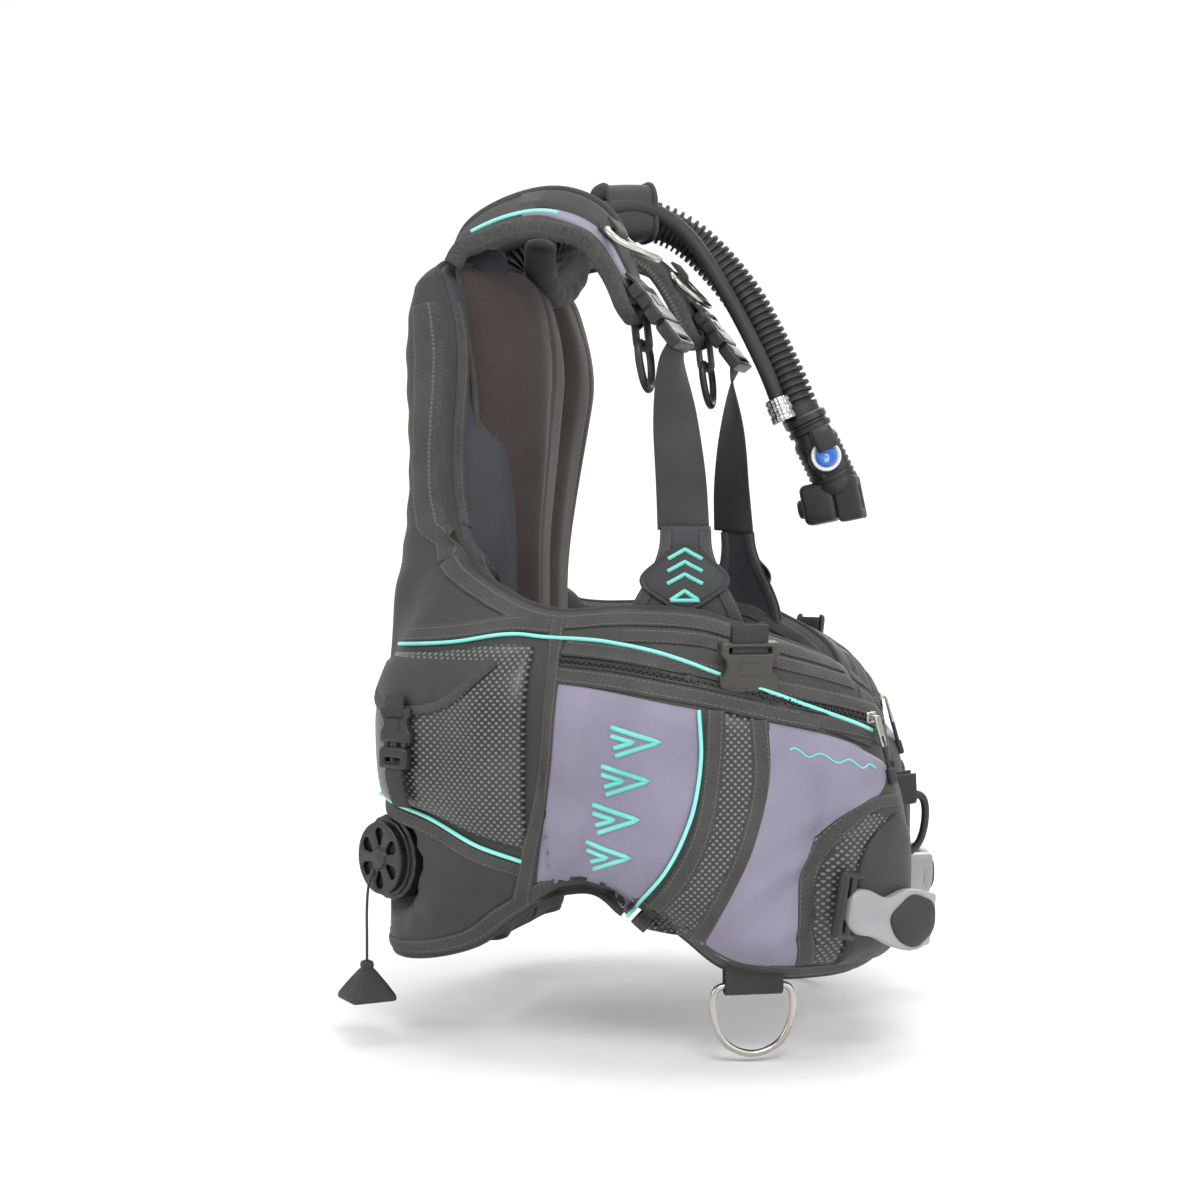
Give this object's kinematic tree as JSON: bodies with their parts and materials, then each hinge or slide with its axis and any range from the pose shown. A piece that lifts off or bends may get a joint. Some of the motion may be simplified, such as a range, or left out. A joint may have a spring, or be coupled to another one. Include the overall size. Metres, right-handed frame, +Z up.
{
  "type": "buoyancy compensator vest",
  "caption": "Open-front diver's buoyancy vest with wrap-round side lobes, padded back, shoulder straps, cargo and weight pockets, corrugated inflator hose and a pull-cord dump valve.",
  "frame": {"origin": "centre of the tank seat on the hard back plate", "axes": "+Z up, -Y the way the wearer faces, -X the wearer's right"},
  "size_m": [0.435, 0.4392, 0.6643],
  "materials": {
    "shell_nylon": "ripstop nylon, satin",
    "pad_fleece": "short fleece, matt",
    "webbing": "ribbed webbing",
    "pocket_panel": "satin weave, violet grey",
    "black_plastic": "moulded, satin",
    "black_rubber": "matt",
    "steel": "polished wire",
    "chromed": "bright",
    "grey_plastic": "light grey, satin",
    "blue_plastic": "bright blue",
    "plate_plastic": "matt, moulded"
  },
  "bodies": {
    "vest": {"back_bladder": "shell_nylon", "back_pad": "pad_fleece", "cam_buckle": "black_plastic", "cargo_pocket_left": "pocket_panel", "cargo_pocket_right": "pocket_panel", "chest_webbing_left": "webbing", "chest_webbing_right": "webbing", "corrugated_hose": "black_rubber", "dump_valve_base": "black_plastic", "dump_valve_cap": "black_plastic", "front_buckle_plug": "black_plastic", "front_buckle_socket": "black_plastic", "hose_sleeve": "webbing", "inflator_body": "black_plastic", "inflator_elbow": "black_plastic", "lobe_left": "shell_nylon", "lobe_right": "shell_nylon", "mouthpiece": "black_rubber", "neck_roll": "webbing", "shoulder_pad_left": "shell_nylon", "shoulder_pad_right": "shell_nylon", "shoulder_socket_left": "black_plastic", "shoulder_socket_right": "black_plastic", "supply_fitting": "chromed", "supply_hose": "black_rubber", "tank_band": "webbing", "tank_plate": "plate_plastic", "trim_pocket_left": "shell_nylon", "trim_pocket_right": "shell_nylon", "waist_panel_left": "webbing", "waist_panel_right": "webbing"},
    "cam_lever": {"cam_lever": "black_plastic"},
    "quick_collar": {"quick_collar": "chromed"},
    "inflate_button": {"inflate_button": "blue_plastic"},
    "deflate_button": {"deflate_button": "black_plastic"},
    "pull_toggle": {"pull_toggle": "black_rubber", "dump_cord": "black_plastic"},
    "dump_valve_disc": {"dump_valve_disc": "black_rubber"},
    "shoulder_plug_right": {"shoulder_plug_right": "black_plastic"},
    "pull_ring_right": {"pull_ring_right": "black_plastic"},
    "shoulder_dring_right": {"shoulder_dring_right": "steel"},
    "zip_slider_right": {"zip_slider_right": "steel"},
    "zip_pull_right": {"zip_pull_right": "steel"},
    "weight_pouch_right": {"weight_pouch_right": "webbing", "weight_handle_right": "grey_plastic"},
    "hip_dring_right": {"hip_dring_right": "steel"},
    "front_dring_right": {"front_dring_right": "black_plastic"},
    "trim_plug_right": {"trim_plug_right": "black_plastic"},
    "shoulder_plug_left": {"shoulder_plug_left": "black_plastic"},
    "pull_ring_left": {"pull_ring_left": "black_plastic"},
    "shoulder_dring_left": {"shoulder_dring_left": "steel"},
    "zip_slider_left": {"zip_slider_left": "steel"},
    "zip_pull_left": {"zip_pull_left": "steel"},
    "weight_pouch_left": {"weight_pouch_left": "webbing", "weight_handle_left": "grey_plastic"},
    "hip_dring_left": {"hip_dring_left": "steel"},
    "front_dring_left": {"front_dring_left": "black_plastic"},
    "trim_plug_left": {"trim_plug_left": "black_plastic"}
  },
  "joints": [
    {"name": "cam_lever_hinge", "type": "hinge", "parent": "vest", "child": "cam_lever", "pos_m": [-0.012, 0.0155, 0.066], "axis": [0, 0, 1], "range_deg": [0, 105]},
    {"name": "quick_collar_slide", "type": "slide", "parent": "vest", "child": "quick_collar", "axis": [0, 0.3697, 0.9292], "range_m": [0, 0.005], "stiffness_N_per_m": 500},
    {"name": "inflate_button_press", "type": "slide", "parent": "vest", "child": "inflate_button", "axis": [0.9564, 0.2921, 0], "range_m": [0, 0.0028], "stiffness_N_per_m": 700},
    {"name": "deflate_button_press", "type": "slide", "parent": "vest", "child": "deflate_button", "axis": [0, -0.9798, 0.2], "range_m": [0, 0.0025], "stiffness_N_per_m": 700},
    {"name": "toggle_pull", "type": "slide", "parent": "vest", "child": "pull_toggle", "axis": [0, 0, -1], "range_m": [0, 0.008], "stiffness_N_per_m": 450},
    {"name": "dump_disc_lift", "type": "slide", "parent": "vest", "child": "dump_valve_disc", "axis": [-0.8544, 0.5196, 0], "range_m": [0, 0.0024]},
    {"name": "shoulder_release_right", "type": "slide", "parent": "vest", "child": "shoulder_plug_right", "axis": [0, -0.6112, -0.7915], "range_m": [0, 0.022]},
    {"name": "pull_ring_swing_right", "type": "hinge", "parent": "vest", "child": "pull_ring_right", "pos_m": [-0.096, -0.146, 0.152], "axis": [1, 0, 0], "range_deg": [-10, 40]},
    {"name": "shoulder_dring_lift_right", "type": "hinge", "parent": "vest", "child": "shoulder_dring_right", "pos_m": [-0.091, -0.123, 0.236], "axis": [-1, 0, 0], "range_deg": [0, 70]},
    {"name": "zip_run_right", "type": "slide", "parent": "vest", "child": "zip_slider_right", "axis": [-0.9496, 0.3136, 0], "range_m": [0, 0.02]},
    {"name": "zip_pull_lift_right", "type": "hinge", "parent": "zip_slider_right", "child": "zip_pull_right", "pos_m": [-0.10942, -0.3246, -0.12177], "axis": [0.9496, -0.3136, 0], "range_deg": [-50, 0]},
    {"name": "weight_release_right", "type": "slide", "parent": "vest", "child": "weight_pouch_right", "axis": [0.8268, -0.518, -0.2192], "range_m": [0, 0.08]},
    {"name": "hip_dring_swing_right", "type": "hinge", "parent": "vest", "child": "hip_dring_right", "pos_m": [-0.15302, -0.24369, -0.312], "axis": [0.4495, -0.8933, 0], "range_deg": [-45, 45]},
    {"name": "front_dring_swing_right", "type": "hinge", "parent": "vest", "child": "front_dring_right", "pos_m": [-0.04069, -0.33272, -0.186], "axis": [0.4958, -0.8627, 0.0992], "range_deg": [-12, 12]},
    {"name": "trim_release_right", "type": "slide", "parent": "vest", "child": "trim_plug_right", "axis": [0, 0, -1], "range_m": [0, 0.016]},
    {"name": "shoulder_release_left", "type": "slide", "parent": "vest", "child": "shoulder_plug_left", "axis": [0, -0.6112, -0.7915], "range_m": [0, 0.017]},
    {"name": "pull_ring_swing_left", "type": "hinge", "parent": "vest", "child": "pull_ring_left", "pos_m": [0.096, -0.146, 0.152], "axis": [1, 0, 0], "range_deg": [-10, 40]},
    {"name": "shoulder_dring_lift_left", "type": "hinge", "parent": "vest", "child": "shoulder_dring_left", "pos_m": [0.091, -0.123, 0.226], "axis": [-1, 0, 0], "range_deg": [0, 11]},
    {"name": "zip_run_left", "type": "slide", "parent": "vest", "child": "zip_slider_left", "axis": [0.9496, 0.3136, 0], "range_m": [0, 0.02]},
    {"name": "zip_pull_lift_left", "type": "hinge", "parent": "zip_slider_left", "child": "zip_pull_left", "pos_m": [0.10942, -0.2946, -0.12177], "axis": [-0.9496, -0.3136, 0], "range_deg": [0, 50]},
    {"name": "weight_release_left", "type": "slide", "parent": "vest", "child": "weight_pouch_left", "axis": [-0.8268, -0.518, -0.2192], "range_m": [0, 0.08]},
    {"name": "hip_dring_swing_left", "type": "hinge", "parent": "vest", "child": "hip_dring_left", "pos_m": [0.15302, -0.21588, -0.312], "axis": [-0.4933, -0.8699, 0], "range_deg": [-45, 45]},
    {"name": "front_dring_swing_left", "type": "hinge", "parent": "vest", "child": "front_dring_left", "pos_m": [0.04069, -0.30272, -0.186], "axis": [-0.4958, -0.8627, 0.0992], "range_deg": [-12, 12]},
    {"name": "trim_release_left", "type": "slide", "parent": "vest", "child": "trim_plug_left", "axis": [0, 0, -1], "range_m": [0, 0.016]}
  ],
  "couplings": [
    {"joint": "dump_disc_lift", "follows": "toggle_pull", "ratio": 0.3}
  ]
}
